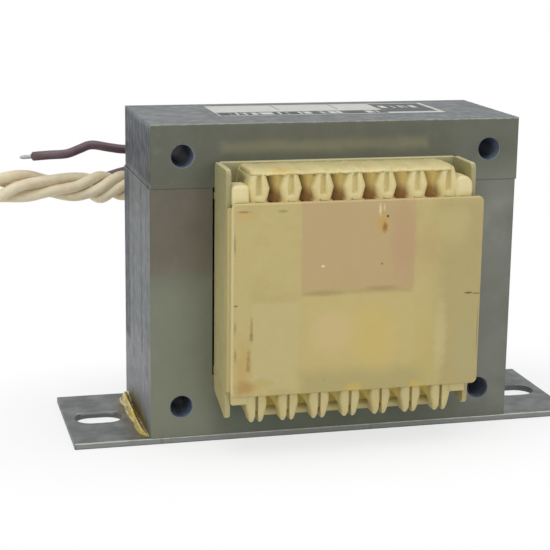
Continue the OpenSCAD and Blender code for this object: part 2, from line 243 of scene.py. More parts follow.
def tube(line, radius, sides, lobes=0, lobe_depth=0.0, lobe_turns=0.0, end_round=0.6):
    """A ring about each point of the line, at the angle q: radius times
    (1 + lobe_depth cos(lobes q + turns)) along cos q across and sin q up. Rings near the
    far end shrink on a quarter ellipse as long as end_round. The rings run against the line's
    direction, so the faces are turned round to point outwards."""
    ahead = unit(np.gradient(line, axis=0))
    across = unit(np.cross(ahead, [0.15, 0.1, 1]))
    up = np.cross(across, ahead)
    q = np.linspace(0, 2 * np.pi, sides, endpoint=False)
    share = np.linspace(0, 1, len(line))[:, None]
    size = radius * (1 + lobe_depth * np.cos(lobes * q[None, :] + 2 * np.pi * lobe_turns * share))
    left = np.clip((1 - share) * line_length(line) / end_round, 0, 1)
    size = size * np.sqrt(np.clip(1 - (1 - left) ** 2, 0.02, 1))
    rings = (line[:, None, :] + (size * np.cos(q))[..., None] * across[:, None, :]
             + (size * np.sin(q))[..., None] * up[:, None, :])
    return flipped(skin(rings))


def joined(shells):
    """Several shells as one: the corners of each are counted on from the points before it."""
    starts = np.cumsum([0] + [len(shell.points) for shell in shells[:-1]])
    return Shell(np.vstack([shell.points for shell in shells]),
                 np.concatenate([shell.corners + start for shell, start in zip(shells, starts)]),
                 np.concatenate([shell.sizes for shell in shells]),
                 np.concatenate([shell.finish for shell in shells]))


def piece(name, shell, materials, replaces=(), rounded=True):
    """One object from a shell, whose finishes are numbered as the materials are."""
    faces = np.split(shell.corners, np.cumsum(shell.sizes)[:-1])
    mesh = bpy.data.meshes.new(name)
    mesh.from_pydata((shell.points * MM).tolist(), [], [face.tolist() for face in faces])
    mesh.polygons.foreach_set("material_index", shell.finish.astype(np.int32))
    mesh.polygons.foreach_set("use_smooth", np.full(len(faces), rounded))
    for material in materials:
        mesh.materials.append(material)
    made = bpy.data.objects.new(name, mesh)
    bpy.context.scene.collection.objects.link(made)
    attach(made, "root")
    if replaces:
        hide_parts(*replaces)
    return made


def mixed(tree, share, first, second):
    """Two colours mixed: the first where share is 0, the second where it is 1."""
    return node(tree, "Mix", {0: share, 6: first, 7: second}, data_type="RGBA").outputs[2]


def new_group(name, inputs):
    """A shader group with the named float or vector inputs and a mask as output."""
    group = bpy.data.node_groups.new(name, "ShaderNodeTree")
    for socket, kind in inputs.items():
        group.interface.new_socket(socket, in_out="INPUT", socket_type="NodeSocket" + kind)
    group.interface.new_socket("Mask", in_out="OUTPUT", socket_type="NodeSocketFloat")
    given = group.nodes.new("NodeGroupInput").outputs
    return group, given, group.nodes.new("NodeGroupOutput").inputs["Mask"]


# Mottle: cloudy noise of a given grain, cut between two levels into a mask.
mottle, given, mask_out = new_group("mottle", {"Vector": "Vector", "Scale": "Float",
                                               "Low": "Float", "High": "Float"})
cloud = node(mottle, "TexNoise", {"Vector": given["Vector"], "Scale": given["Scale"],
                                  "Detail": 5.0, "Roughness": 0.6})
cut = node(mottle, "MapRange", {"Value": cloud.outputs["Fac"], "From Min": given["Low"],
                                "From Max": given["High"]}, interpolation_type="SMOOTHSTEP")
mottle.links.new(cut.outputs[0], mask_out)


class Paint:
    """A material with one Principled shader, and short ways to lay tones on it."""

    def __init__(self, name, base, roughness, **constants):
        self.material = bpy.data.materials.new(name)
        self.material.use_nodes = True
        self.tree = self.material.node_tree
        self.shader = self.tree.nodes["Principled BSDF"]
        self.shader.inputs["Roughness"].default_value = roughness
        for socket, value in constants.items():
            self.shader.inputs[socket.replace("_", " ")].default_value = value
        self.place = node(self.tree, "TexCoord").outputs["Object"]
        self.base = colour(*base)

    def stretched(self, x, y, z):
        """Object coordinates multiplied axis by axis, for streaks."""
        return node(self.tree, "Mapping", {"Vector": self.place, "Scale": (x, y, z)}).outputs[0]

    def mask(self, group, place=None, **values):
        """The mask of a shader group, with its own values."""
        return node(self.tree, "Group", {"Vector": place or self.place, **values},
                    node_tree=group).outputs["Mask"]

    def clouds(self, grain, low=0.35, high=0.65, place=None):
        """Cloudy mask with a grain in millimetres."""
        return self.mask(mottle, place, Scale=1 / (grain * MM), Low=low, High=high)

    def lay(self, tone, mask, share):
        """Lays a tone over what is there, where the mask is; share may be a mask too."""
        share = calc(self.tree, "MULTIPLY", mask, share)
        self.base = mixed(self.tree, share, self.base, colour(*tone))

    def cloudy(self, tone, grain, low, high, share, place=None):
        """Lays a tone over in clouds."""
        self.lay(tone, self.clouds(grain, low, high, place), share)

    def roughen(self, mask, low, high):
        """Roughness from low where the mask is 0 to high where it is 1."""
        made = node(self.tree, "MapRange", {"Value": mask, "To Min": low, "To Max": high})
        self.tree.links.new(made.outputs[0], self.shader.inputs["Roughness"])

    def bump(self, height, depth, strength=0.5):
        """A bump of the given depth in millimetres."""
        made = node(self.tree, "Bump", {"Height": height, "Strength": strength,
                                        "Distance": depth * MM})
        self.tree.links.new(made.outputs[0], self.shader.inputs["Normal"])

    def done(self):
        """Joins the laid tones to the shader and gives the material."""
        self.tree.links.new(self.base, self.shader.inputs["Base Color"])
        return self.material


pale_insulation = Paint("pale_insulation", (230, 219, 188), 0.5, Subsurface_Weight=0.25,
                        Subsurface_Scale=0.9 * MM)
pale_insulation.cloudy((208, 190, 154), 5, 0.42, 0.7, 0.6)
pale_insulation.cloudy((240, 232, 210), 2.2, 0.5, 0.75, 0.5)
pale_insulation.bump(pale_insulation.clouds(0.5, 0.2, 0.8), 0.03)
pale_insulation = pale_insulation.done()

dark_insulation = Paint("dark_insulation", (88, 66, 73), 0.34)
dark_insulation.cloudy((120, 98, 108), 3, 0.4, 0.7, 0.6)
dark_insulation.cloudy((64, 46, 52), 1.3, 0.55, 0.75, 0.5)
dark_insulation.bump(dark_insulation.clouds(0.4, 0.2, 0.8), 0.02)
dark_insulation = dark_insulation.done()

tinned_wire = Paint("tinned_wire", (168, 170, 172), 0.36, Metallic=0.7)
tinned_wire.cloudy((140, 141, 144), 0.5, 0.45, 0.7, 0.7)
tinned_wire.roughen(tinned_wire.clouds(0.3), 0.22, 0.45)
tinned_wire = tinned_wire.done()


def exit_points(gap, drop):
    """Out of the channel at that x, over the cover's edge and to the left."""
    return [
        (gap, lead_start_y, lead_height),
        (gap, lead_exit_y, lead_height),
        (gap - 0.5, lead_exit_y + 2, lead_height - 0.1 * drop),
        (gap - 2, lead_exit_y + 3.4, lead_height - 0.45 * drop),
        (gap - 4, lead_exit_y + 4, lead_height - drop),
    ]


def bare_tip(name, line, replaces):
    """The stripped end: seven strands twisted together, past the end of the line."""
    ahead = unit(line[-1] - line[-3])
    core = line[-1] + np.linspace(-0.6, bare_length, 26)[:, None] * ahead
    strands = tube(core, bare_radius, 28, lobes=7, lobe_depth=0.14, lobe_turns=2.2, end_round=0.9)
    return piece(name, strands, [tinned_wire], replaces)


def lead(name, line, width, insulation, replaces, tip_replaces):
    """A round tube along the line, and its bare tip."""
    tip = bare_tip(name + "_tip_strands", line, tip_replaces)
    made = piece(name + "_insulation", tube(line, width / 2, 18), [insulation], replaces)


upper_dark_line = smooth_line(exit_points(-12.5, 0) + [
    (core_left + 3, bundle_y, lead_height + 0.35),
    (core_left - 0.3, bundle_y, lead_height + 0.75),
    (core_left - 3.6, bundle_y, lead_height + 1.3),
    (core_left - 5.7, bundle_y, lead_height + 0.65),
    (core_left - 8, bundle_y, lead_height - 0.15),
    (core_left - 11.2, bundle_y, lead_height - 0.3),
    (core_left - 14.4, bundle_y, lead_height - 0.5),
], 0.5)
lead("upper_dark_lead", upper_dark_line, dark_lead_width, dark_insulation,
     ["upper_dark_lead"], ["upper_dark_tip"])

lower_dark_line = smooth_line(exit_points(-7.5, 0.6) + [
    (-17.5, bundle_y + 2.2, lead_height - 2.2),
    (core_left + 3, bundle_y + 3.6, lead_height - 4),
    (core_left - 4, bundle_y + 3.8, lead_height - 5.9),
    (core_left - 12, bundle_y + 3.8, lead_height - 6.5),
], 0.5)
lead("lower_dark_lead", lower_dark_line, dark_lead_width, dark_insulation,
     ["lower_dark_lead"], ["lower_dark_tip"])

bundle_line = smooth_line([
    (bundle_start, bundle_y, bundle_height),
    (core_left - 6, bundle_y, bundle_height + 0.2),
    (core_left - 20, bundle_y, bundle_height + 0.2),
    (core_left - 30, bundle_y, bundle_height - 3),
    (core_left - 38, bundle_y + 1, bundle_height * 0.62),
    (core_left - 43, bundle_y + 1, bundle_height * 0.34),
    (core_left - 51, bundle_y + 1, bundle_foot + 0.8),
    (core_left - 62, bundle_y + 1, bundle_foot),
], 2.0)


def strand_line(gap, start_angle, side, rise):
    """From its gap down to the bundle, then round the bundle's line. The angle grows by a
    whole turn for each pitch walked: 15 mm beside the core, slackening to 36 mm and closing to
    20 mm further out. The radius narrows past the core and swells after it, and a strand sags
    where it passes below."""
    fan = exit_points(gap, 2.4) + [
        (gap - 8, bundle_y + side / 2, bundle_height + 1.5 + rise * 0.7),
        (gap - 13, bundle_y + side, bundle_height + rise),
    ]
    fan = [point for point in fan if point[0] > bundle_start + 1]
    walked = np.linspace(0, line_length(bundle_line), len(bundle_line))
    pitch = np.interp(walked, (16, 21, 36, 46), (15, 36, 36, 20))
    turned = np.concatenate([[0], np.cumsum(np.diff(walked) / pitch[1:])])
    angle = start_angle + 0.3 + 2 * np.pi * turned + 0.12 * np.sin(0.6 * walked + 2 * start_angle)
    radius = 1.6 - 0.25 * bell(walked, 21, 3.5) + 0.4 * bell(walked, 31, 6)
    radius += 0.7 * np.clip(-np.sin(angle), 0, 1) ** 6 * bell(walked, 15.5, 5)
    radius *= np.clip((walked + 6) / 12, 0.9, 1)
    ahead = unit(np.gradient(bundle_line, axis=0))
    rearward = unit(np.array([0, 1, 0]) - ahead * ahead[:, 1:2])
    above = np.cross(rearward, ahead)
    round_line = bundle_line + radius[:, None] * (np.cos(angle)[:, None] * rearward
                                                  + np.sin(angle)[:, None] * above)
    return smooth_line(np.vstack([fan, round_line]), 0.5)


for number, (gap, start_angle, side, rise) in enumerate((
    (-2.5, np.pi / 2, 0, 1.5), (2.5, 0, 1.5, 0), (7.5, np.pi, -1.5, 0),
    (12.5, 1.5 * np.pi, 0, -1.5),
), 1):
    lead(f"pale_lead_{number}", strand_line(gap, start_angle, side, rise), pale_lead_width,
         pale_insulation,
         [f"pale_lead_{number}"] + (["pale_bundle"] if number == 1 else []),
         ["pale_tips"] if number == 1 else [])

# Core
# Two stacks of fifty half-millimetre sheets of electrical steel, E below and I on
# top, varnished together and drilled at the four corners for clamping screws.
core_low, core_high = node_box("e_stack")
core_width, stack_depth = (core_high - core_low)[:2]
core_foot, seam = core_low[2], core_high[2]
core_top = node_box("i_stack")[1, 2]
limb = core_top - seam
hole_radius, hole_break = 1.8, 0.08
sheets = 50
sheet_play, sheet_round = 0.035, 0.05
cells_per_limb = 8
cell = limb / cells_per_limb
# A painted box that reaches FAR along an axis has no limit there.
FAR = 200
FACE_FINISH, EDGE_FINISH, WALL_FINISH = 0, 1, 2


def vector(tree, operation, first, second=(0, 0, 0)):
    """One step of arithmetic between two vectors."""
    return node(tree, "VectorMath", {0: first, 1: second}, operation=operation).outputs[0]


# Soft box: 1 inside a box about a centre, fading to 0 over its soft rim; wobble
# makes the rim uneven.
soft_box, given, mask_out = new_group("soft_box", {
    "Vector": "Vector", "Centre": "Vector", "Half": "Vector", "Soft": "Float", "Wobble": "Float",
    "Grain": "Float"})
stir = node(soft_box, "TexNoise", {"Vector": given["Vector"], "Scale": given["Grain"],
                                   "Detail": 3.0})
stir_centred = vector(soft_box, "SUBTRACT", stir.outputs["Color"], (0.5, 0.5, 0.5))
stirred = node(soft_box, "VectorMath", {0: stir_centred, 3: given["Wobble"]}, operation="SCALE")
moved = vector(soft_box, "ADD", given["Vector"], stirred.outputs[0])
distance = vector(soft_box, "ABSOLUTE", vector(soft_box, "SUBTRACT", moved, given["Centre"]))
outside = vector(soft_box, "SUBTRACT", distance, given["Half"])
along = node(soft_box, "SeparateXYZ", {0: outside}).outputs
furthest = calc(soft_box, "MAXIMUM", along[0], calc(soft_box, "MAXIMUM", along[1], along[2]))
faded = node(soft_box, "MapRange", {
    "Value": furthest, "From Min": calc(soft_box, "MULTIPLY", given["Soft"], -1.0),
    "From Max": given["Soft"], "To Min": 1.0, "To Max": 0.0}, interpolation_type="SMOOTHSTEP")
soft_box.links.new(faded.outputs[0], mask_out)

# Blot: 1 at the heart of an ellipsoid, fading to 0 at its uneven rim.
blot_group, given, mask_out = new_group("blot", {
    "Vector": "Vector", "Centre": "Vector", "Inverse": "Vector", "Wobble": "Float",
    "Grain": "Float"})
stir = node(blot_group, "TexNoise", {"Vector": given["Vector"], "Scale": given["Grain"],
                                     "Detail": 3.0})
shrunk = vector(blot_group, "MULTIPLY", vector(blot_group, "SUBTRACT", given["Vector"],
                                               given["Centre"]), given["Inverse"])
from_heart = node(blot_group, "VectorMath", {0: shrunk}, operation="LENGTH")
uneven = calc(blot_group, "MULTIPLY", calc(blot_group, "SUBTRACT", stir.outputs["Fac"], 0.5),
              given["Wobble"])
faded = node(blot_group, "MapRange", {
    "Value": calc(blot_group, "ADD", from_heart.outputs["Value"], uneven), "From Min": 0.25,
    "From Max": 1.0, "To Min": 1.0, "To Max": 0.0}, interpolation_type="SMOOTHSTEP")
blot_group.links.new(faded.outputs[0], mask_out)


def patch(paint, centre, half, soft, wobble=0.0, grain=3.0):
    """A soft box on a paint, all in millimetres."""
    return paint.mask(soft_box, Centre=[v * MM for v in centre], Half=[v * MM for v in half],
                      Soft=soft * MM, Wobble=wobble * MM, Grain=1 / (grain * MM))


def blot(paint, centre, half, wobble):
    """A blot on a paint, in millimetres; wobble is a share of its size."""
    return paint.mask(blot_group, Centre=[v * MM for v in centre],
                      Inverse=[1 / (v * MM) for v in half], Wobble=wobble,
                      Grain=1 / (0.8 * min(half) * MM))


def lay_patch(paint, tone, centre, half, soft, wobble, grain, share):
    """Lays a tone over a soft box."""
    paint.lay(tone, patch(paint, centre, half, soft, wobble, grain), share)


sheet_face = Paint("sheet_face", (91, 93, 80), 0.5, Metallic=0.25)
for field in (
    ((121, 124, 106), (-26, 0, 13), (8, FAR, 15), 5, 5, 14, 0.85),
    ((119, 122, 113), (27, 0, 22), (4.5, FAR, 20), 4, 3, 9, 0.85),
    ((105, 95, 82), (-25.5, 0, 34.4), (5.2, FAR, 6.6), 1.6, 3, 6, 0.75),
    ((90, 97, 81), (0, 0, 4), (20, FAR, 3), 2, 2, 9, 0.8),
    ((134, 135, 125), (26.6, 0, 33.5), (2.2, FAR, 4), 2, 2, 6, 0.6),
    ((134, 131, 100), (-2, 0, 47.2), (16.5, FAR, 0.8), 0.8, 1.4, 5, 0.45),
    ((88, 90, 78), (-4, 0, 49.6), (20, FAR, 0.7), 1.2, 1.6, 6, 0.4),
):
    lay_patch(sheet_face, *field)
sheet_face.cloudy((86, 87, 77), 9, 0.48, 0.75, 0.4)
sheet_face.cloudy((128, 130, 117), 2.5, 0.55, 0.8, 0.25)
sheet_face.cloudy((72, 74, 68), 0.5, 0.62, 0.75, 0.3)
sheet_face.cloudy((196, 196, 184), 0.9, 0.73, 0.76, 0.5)
# A pale line along the top edge of the front and rear faces: painted highlight.
lay_patch(sheet_face, (176, 180, 170), (0, 0, core_top), (FAR, FAR, 0.16), 0.14, 0.25, 1, 0.85)
lay_patch(sheet_face, (40, 39, 34), (0, 0, seam), (FAR, FAR, 0.07), 0.08, 0.1, 2, 0.6)
sheet_face.roughen(sheet_face.clouds(4), 0.42, 0.6)
sheet_face.bump(sheet_face.clouds(0.6, 0.3, 0.7), 0.03, 0.3)
sheet_face = sheet_face.done()

sheet_edges = Paint("sheet_edges", (110, 114, 116), 0.48, Metallic=0.2)
sheet_streaks = sheet_edges.stretched(0.04, 1, 0.04)
sheet_edges.cloudy((102, 106, 110), 2.2, 0.45, 0.68, 0.4, sheet_streaks)
sheet_edges.cloudy((138, 140, 141), 0.9, 0.55, 0.74, 0.3, sheet_streaks)
sheet_edges.cloudy((86, 89, 92), 0.4, 0.58, 0.72, 0.3, sheet_streaks)
for field in (
    ((132, 133, 135), (0, 0, 8), (FAR, FAR, 7), 2.5, 5, 5, 0.8),
    ((66, 74, 83), (0, 9.8, 31), (FAR, 2.9, 19), 0.7, 1.0, 9, 0.9),
    ((74, 80, 84), (0, 3.6, 30), (FAR, 0.5, 20), 0.4, 0.5, 9, 0.6),
    ((82, 87, 87), (0, -4.6, 31), (FAR, 0.7, 18), 0.5, 0.7, 9, 0.8),
    ((98, 103, 99), (0, -9.6, 30), (FAR, 1.6, 20), 0.7, 1, 9, 0.6),
    ((44, 51, 59), (0, 0, 46), (FAR, FAR, 4.4), 0.6, 1, 9, 0.9),
    ((88, 92, 94), (0, 0, core_top), (FAR, FAR, 0.3), 0.1, 0, 9, 0.45),
    ((56, 64, 58), (0, -10.4, 45.6), (FAR, 0.7, 4.8), 0.5, 0.6, 9, 0.8),
):
    lay_patch(sheet_edges, *field)
sheet_edges.cloudy((98, 99, 97), 5, 0.5, 0.75, 0.25)
sheet_edges.lay((100, 90, 54), blot(sheet_edges, (core_left, -2, 1.5), (FAR, 13, 4.2), 0.9), 0.9)
lay_patch(sheet_edges, (44, 43, 40), (0, 0, seam), (FAR, FAR, 0.06), 0.08, 0.1, 2, 0.12)
sheet_edges.roughen(sheet_edges.clouds(2), 0.36, 0.55)
sheet_edges = sheet_edges.done()

# The bore walls are a pale blue-grey, paler than the steel: painted light that stands for light reaching
# into the holes.
hole_wall = Paint("hole_wall", (126, 137, 154), 0.5)
hole_wall.cloudy((132, 140, 154), 1.4, 0.5, 0.7, 0.6)
hole_wall.cloudy((40, 46, 60), 2, 0.35, 0.65, 0.4)
hole_wall = hole_wall.done()


def from_quads(points, quads, finish=0):
    """A shell of four-cornered faces with one finish."""
    return Shell(points, quads.ravel(), np.full(len(quads), 4), np.full(len(quads), finish))


def grid_quads(number):
    """The four corners of each cell in a grid of numbered points."""
    return np.stack([number[:-1, :-1], number[1:, :-1], number[1:, 1:], number[:-1, 1:]], -1)


def welded(shell):
    """Drops unused points and joins those on the same place, so that patches close."""
    used, corners = np.unique(shell.corners, return_inverse=True)
    points, same = np.unique(np.round(shell.points[used], 4), axis=0, return_inverse=True)
    return shell._replace(points=points, corners=same.ravel()[corners.ravel()])


def drilled_corner(level_rim, front_rim, rear_rim):
    """Round a clamping hole each face is a patch between a circle and the square rim of the
    corner, at the angle q: (1 - s) circle(q) + s square(q). The hole's wall is carried
    through, with a small break at both ends."""
    centre = np.insert(level_rim.min(axis=0) + limb / 2, 1, 0)
    q = np.arctan2(level_rim[:, 1] - centre[2], level_rim[:, 0] - centre[0])
    circle = np.stack([np.cos(q), 0 * q, np.sin(q)], axis=-1)
    half = stack_depth / 2
    bore_y = np.array([-half, -half + hole_break, -half + 4, half - 4, half - hole_break, half])
    bore_r = hole_radius + hole_break * np.array([1, 0, 0, 0, 0, 1])
    bore = centre + bore_r[:, None, None] * circle + bore_y[:, None, None] * np.array([0, 1, 0])
    s = np.linspace(1, 0, 4)[:, None, None]
    return [
        skin(s * front_rim + (1 - s) * bore[0], closed=False, finish=FACE_FINISH),
        flipped(skin(s * rear_rim + (1 - s) * bore[-1], closed=False, finish=FACE_FINISH)),
        skin(bore, closed=False, finish=WALL_FINISH),
    ]


def laminated_stack(name, solid, foot, seed, shift, seam_row, node_name):
    """A stack whose outline is a pattern of square cells. Its rim is carried along Y sheet by
    sheet: each sheet has its own small offset and draws in at its two edges. The faces are the
    cells, with a drilled corner at the left and the right. The row of corners on the seam
    between the stacks isn't drawn in, and shift sets the stack a little to one side."""
    columns, rows = solid.shape
    n = cells_per_limb
    drilled = np.zeros_like(solid)
    drilled[:n, :n] = drilled[-n:, :n] = True
    level = np.stack(np.meshgrid(shift - core_width / 2 + cell * np.arange(columns + 1),
                                 foot + cell * np.arange(rows + 1), indexing="ij"), axis=-1)
    framed = np.pad(solid, 1).astype(int)
    corners = [framed[i:i + columns + 1, j:j + rows + 1] for i in (0, 1) for j in (0, 1)]
    out_x = np.sign(corners[0] + corners[1] - corners[2] - corners[3])
    out_z = np.sign(corners[0] + corners[2] - corners[1] - corners[3])
    out_z[:, seam_row] = 0

    thick = stack_depth / sheets
    stations = np.array([0.04, 0.24, 0.76, 0.96]) * thick
    y = (-stack_depth / 2 + thick * np.arange(sheets)[:, None] + stations).ravel()
    y[0], y[-1] = -stack_depth / 2, stack_depth / 2
    draw_in = np.tile([sheet_round, 0, 0, sheet_round], sheets)
    draw_in += np.repeat(np.random.default_rng(seed).uniform(0, sheet_play, sheets), 4)
    rim = level - draw_in[:, None, None, None] * np.stack([out_x, out_z], axis=-1)
    grid = np.insert(rim, 1, 0, axis=-1)
    grid[..., 1] = y[:, None, None]
    points = grid.reshape(-1, 3)

    number = np.arange(out_x.size).reshape(out_x.shape)
    layer = number.size
    left_of = framed[:-1, 1:-1] - framed[1:, 1:-1]
    below = framed[1:-1, :-1] - framed[1:-1, 1:]
    edges = np.vstack([np.stack([start[change], end[change]], axis=-1) for change, start, end in (
        (left_of > 0, number[:, :-1], number[:, 1:]), (left_of < 0, number[:, 1:], number[:, :-1]),
        (below > 0, number[1:, :], number[:-1, :]), (below < 0, number[:-1, :], number[1:, :]),
    )])
    a, b = (edges[:, k] + layer * np.arange(len(y) - 1)[:, None] for k in (0, 1))
    sides = np.stack([a, a + layer, b + layer, b], axis=-1).reshape(-1, 4)
    face = grid_quads(number)[solid & ~drilled]
    caps = np.vstack([face, face[:, ::-1] + layer * (len(y) - 1)])
    shells = [from_quads(points, sides, EDGE_FINISH), from_quads(points, caps, FACE_FINISH)]
    k = np.arange(n)
    for i in (0, columns - n):
        ring = np.concatenate([number[i + k, 0], number[i + n, k], number[i + n - k, n],
                               number[i, n - k]])
        rims = grid.reshape(len(y), -1, 3)[:, ring]
        shells += drilled_corner(level.reshape(-1, 2)[ring], rims[0], rims[-1])
    piece(name, welded(joined(shells)), [sheet_face, sheet_edges, hole_wall],
          [node_name], rounded=False)


e_cells = np.ones((6 * cells_per_limb, 4 * cells_per_limb), bool)
for window in (1, 4):
    e_cells[window * cells_per_limb:(window + 1) * cells_per_limb, cells_per_limb:] = False
i_cells = np.ones((6 * cells_per_limb, cells_per_limb), bool)
laminated_stack("e_laminations", e_cells, core_foot, 5, 0.0, -1, "e_stack")
laminated_stack("i_laminations", i_cells, seam, 11, 0.2, 0, "i_stack")

# Foot plate
# One strip of one-millimetre sheet steel under the core, sheared at its ends, with a
# punched slot in each foot.
plate_low, plate_high = node_box("foot_plate")
plate_length, plate_depth, plate_thick = plate_high - plate_low
plate_front = plate_low[1]
slot_middle = 36.5
slot_straight = 1.15
slot_radius = 2.75
sheared_edge = 0.12

plate_steel = Paint("plate_steel", (88, 93, 91), 0.46, Metallic=0.2)
plate_steel.cloudy((86, 90, 89), 6, 0.42, 0.7, 0.5)
plate_steel.cloudy((118, 121, 121), 0.7, 0.5, 0.75, 0.4, plate_steel.stretched(0.08, 1, 1))
plate_steel.cloudy((76, 79, 78), 0.45, 0.58, 0.75, 0.35)
# Along the front edge: the edge face laid lighter, a pale line along its top that is painted highlight,
# and a dark line at its foot.
for field in (
    ((136, 140, 134), (0, plate_front, 0.5), (FAR, 0.1, 0.6), 0.1, 0, 3, 0.75),
    ((196, 200, 192), (0, plate_front, 0.97), (FAR, 0.2, 0.1), 0.08, 0.25, 1.5, 0.8),
    ((52, 54, 50), (0, plate_front, 0.06), (FAR, 0.1, 0.1), 0.1, 0.3, 1, 0.7),
):
    lay_patch(plate_steel, *field)
front_edge = patch(plate_steel, (0, plate_front, 0.5), (FAR, 0.1, 0.5), 0.1)
shear_marks = plate_steel.clouds(2.4, 0.62, 0.7, plate_steel.stretched(1, 0.1, 0.1))
plate_steel.lay((86, 88, 82), front_edge, calc(plate_steel.tree, "MULTIPLY", 0.8, shear_marks))
# A painted glint on the rear rim of the left slot.
lay_patch(plate_steel, (168, 170, 174), (-slot_middle, 2.6, plate_thick), (3.4, 0.3, 0.3), 0.2, 0, 3, 0.6)
lay_patch(plate_steel, (104, 88, 52), (core_left - 1, -1, plate_thick), (1.6, 11, 0.5), 1.2, 2.4, 3, 0.7)
plate_steel.roughen(plate_steel.clouds(3), 0.34, 0.52)
plate_steel.bump(plate_steel.clouds(0.4, 0.3, 0.7), 0.02, 0.3)
plate_steel = plate_steel.done()


def foot_patch(side):
    """Between the slot and the rectangle of the foot: at each point of the rectangle's rim,
    the ray to the slot's middle meets the slot either on a straight side, at r / |sin q|, or
    on an end, at h |cos q| + sqrt(r^2 - h^2 sin^2 q)."""
    wide, deep = np.arange(10) / 10, np.arange(20) / 20
    left, right = core_width / 2, plate_length / 2
    front, rear = -plate_depth / 2, plate_depth / 2
    rim = np.concatenate([
        np.stack([left + (right - left) * wide, 0 * wide + front], -1),
        np.stack([0 * deep + right, front + (rear - front) * deep], -1),
        np.stack([right - (right - left) * wide, 0 * wide + rear], -1),
        np.stack([0 * deep + left, rear - (rear - front) * deep], -1)])
    middle = np.array([slot_middle, 0])
    q = np.arctan2(*(rim - middle).T[::-1])
    on_side = slot_radius / np.maximum(np.abs(np.sin(q)), 1e-6)
    on_end = slot_straight * np.abs(np.cos(q)) + np.sqrt(
        np.maximum(slot_radius ** 2 - (slot_straight * np.sin(q)) ** 2, 0))
    reach = np.where(on_side * np.abs(np.cos(q)) <= slot_straight, on_side, on_end)
    slot_rim = middle + reach[:, None] * np.stack([np.cos(q), np.sin(q)], -1)
    s = np.array([0, 0.25, 0.6, 1])[:, None, None]
    flat = (1 - s) * slot_rim + s * rim
    rings = np.concatenate([flat * [side, 1], np.full(flat.shape[:2] + (1,), plate_thick)], -1)
    shell = skin(rings, closed=False)
    return flipped(shell) if side > 0 else shell


middle_x, middle_y = np.meshgrid(np.linspace(-core_width / 2, core_width / 2, 13),
                                 np.linspace(-plate_depth / 2, plate_depth / 2, 21), indexing="ij")
middle_grid = np.stack([middle_x, middle_y, np.full_like(middle_x, plate_thick)], -1)
middle_numbers = np.arange(middle_x.size).reshape(middle_x.shape)
plate_middle = from_quads(middle_grid.reshape(-1, 3), grid_quads(middle_numbers).reshape(-1, 4))
plate_top = welded(joined([foot_patch(-1), plate_middle, foot_patch(1)]))
foot_plate = piece("slotted_foot_plate", plate_top, [plate_steel], ["foot_plate"],
                   rounded=False)
thickness = foot_plate.modifiers.new("thickness", "SOLIDIFY")
thickness.thickness = plate_thick * MM
thickness.offset = -1
sheared_edges = foot_plate.modifiers.new("sheared_edges", "BEVEL")
sheared_edges.width = sheared_edge * MM
sheared_edges.segments = 2
sheared_edges.limit_method = "ANGLE"

# Resin beads
# Cured amber resin, run by hand along the corner between the core and each foot. It stands
# as a lumpy ridge on the plate and has stained the steel beside it.
bead_low, bead_high = node_box("right_resin_bead")
bead_half_length = bead_high[1] - 0.1
bead_width, bead_height = bead_high[0] - bead_low[0], bead_high[2] - bead_low[2]
bead_sink = 0.1

amber_resin = Paint("amber_resin", (206, 180, 58), 0.2, Coat_Weight=0.5, Subsurface_Weight=0.2,
                    Subsurface_Scale=0.8 * MM)
lay_patch(amber_resin, (112, 96, 44), (0, 0, 2.2), (30.45, FAR, 1.6), 0.3, 0.9, 1.2, 0.85)
amber_resin.cloudy((168, 140, 36), 1.6, 0.5, 0.66, 0.6)
# Pale clouds on the resin are painted highlights.
amber_resin.cloudy((240, 228, 158), 0.9, 0.56, 0.68, 0.85)
amber_resin.cloudy((104, 88, 36), 1.1, 0.66, 0.74, 0.6)
amber_resin.bump(amber_resin.clouds(0.5, 0.3, 0.7), 0.08, 0.5)
amber_resin = amber_resin.done()


def resin_bead(name, side, phase, node_name):
    """A bell curve across, carried along Y: beside the core the resin is a thin film, and it
    rises to a ridge further out. Width and height swell and shrink by a sum of sines of the way
    along, grow where the bead runs out at the rear, and taper to nothing at both ends."""
    v = np.linspace(-1, 1, 150)[:, None]
    u = np.linspace(0, 1, 20)[None, :]
    lump = (0.34 * np.sin(3.7 * v + phase) + 0.3 * np.sin(9.1 * v + 2 * phase)
            + 0.2 * np.sin(17.3 * v + 3 * phase + 2 * u) + 0.08 * np.sin(31 * v + phase - 4 * u))
    taper = np.clip(1 - np.abs(v) ** 9, 0.05, 1)
    run_out = np.clip((v - 0.5) / 0.4, 0, 1)
    out = bead_width * taper * (1 + 0.2 * lump + 0.3 * run_out) * u
    ridge_at = 0.62 - 0.12 * v
    ridge = bead_height * taper * (0.5 + 0.3 * lump) * bell(u, ridge_at, 0.25)
    up = (ridge + (0.1 + 0.7 * run_out) * bead_height * taper * (1 - u) ** 1.6) * (1 - u ** 8)
    free = np.stack([side * (core_width / 2 + out), bead_half_length * v + 0 * u,
                     plate_thick + up], -1)
    corner = np.stack([np.full_like(v, side * (core_width / 2 - bead_sink)), bead_half_length * v,
                       np.full_like(v, plate_thick - bead_sink)], -1)
    shell = skin(np.concatenate([free, corner], axis=1))
    piece(name, shell if side > 0 else flipped(shell), [amber_resin], [node_name])


resin_bead("left_resin_fillet", -1, 0.7, "left_resin_bead")
resin_bead("right_resin_fillet", 1, 2.1, "right_resin_bead")

# Coil and former
# The winding is enamelled wire under red-brown tape, on a moulded former that fills the
# core's windows. Both are seen only between the posts and past the flanges' edges.
former_foot, former_head = node_box("coil_former")[:, 2]
middle_height = (former_foot + former_head) / 2
channels_half_width, channels_half_height = 13.8, 18.1

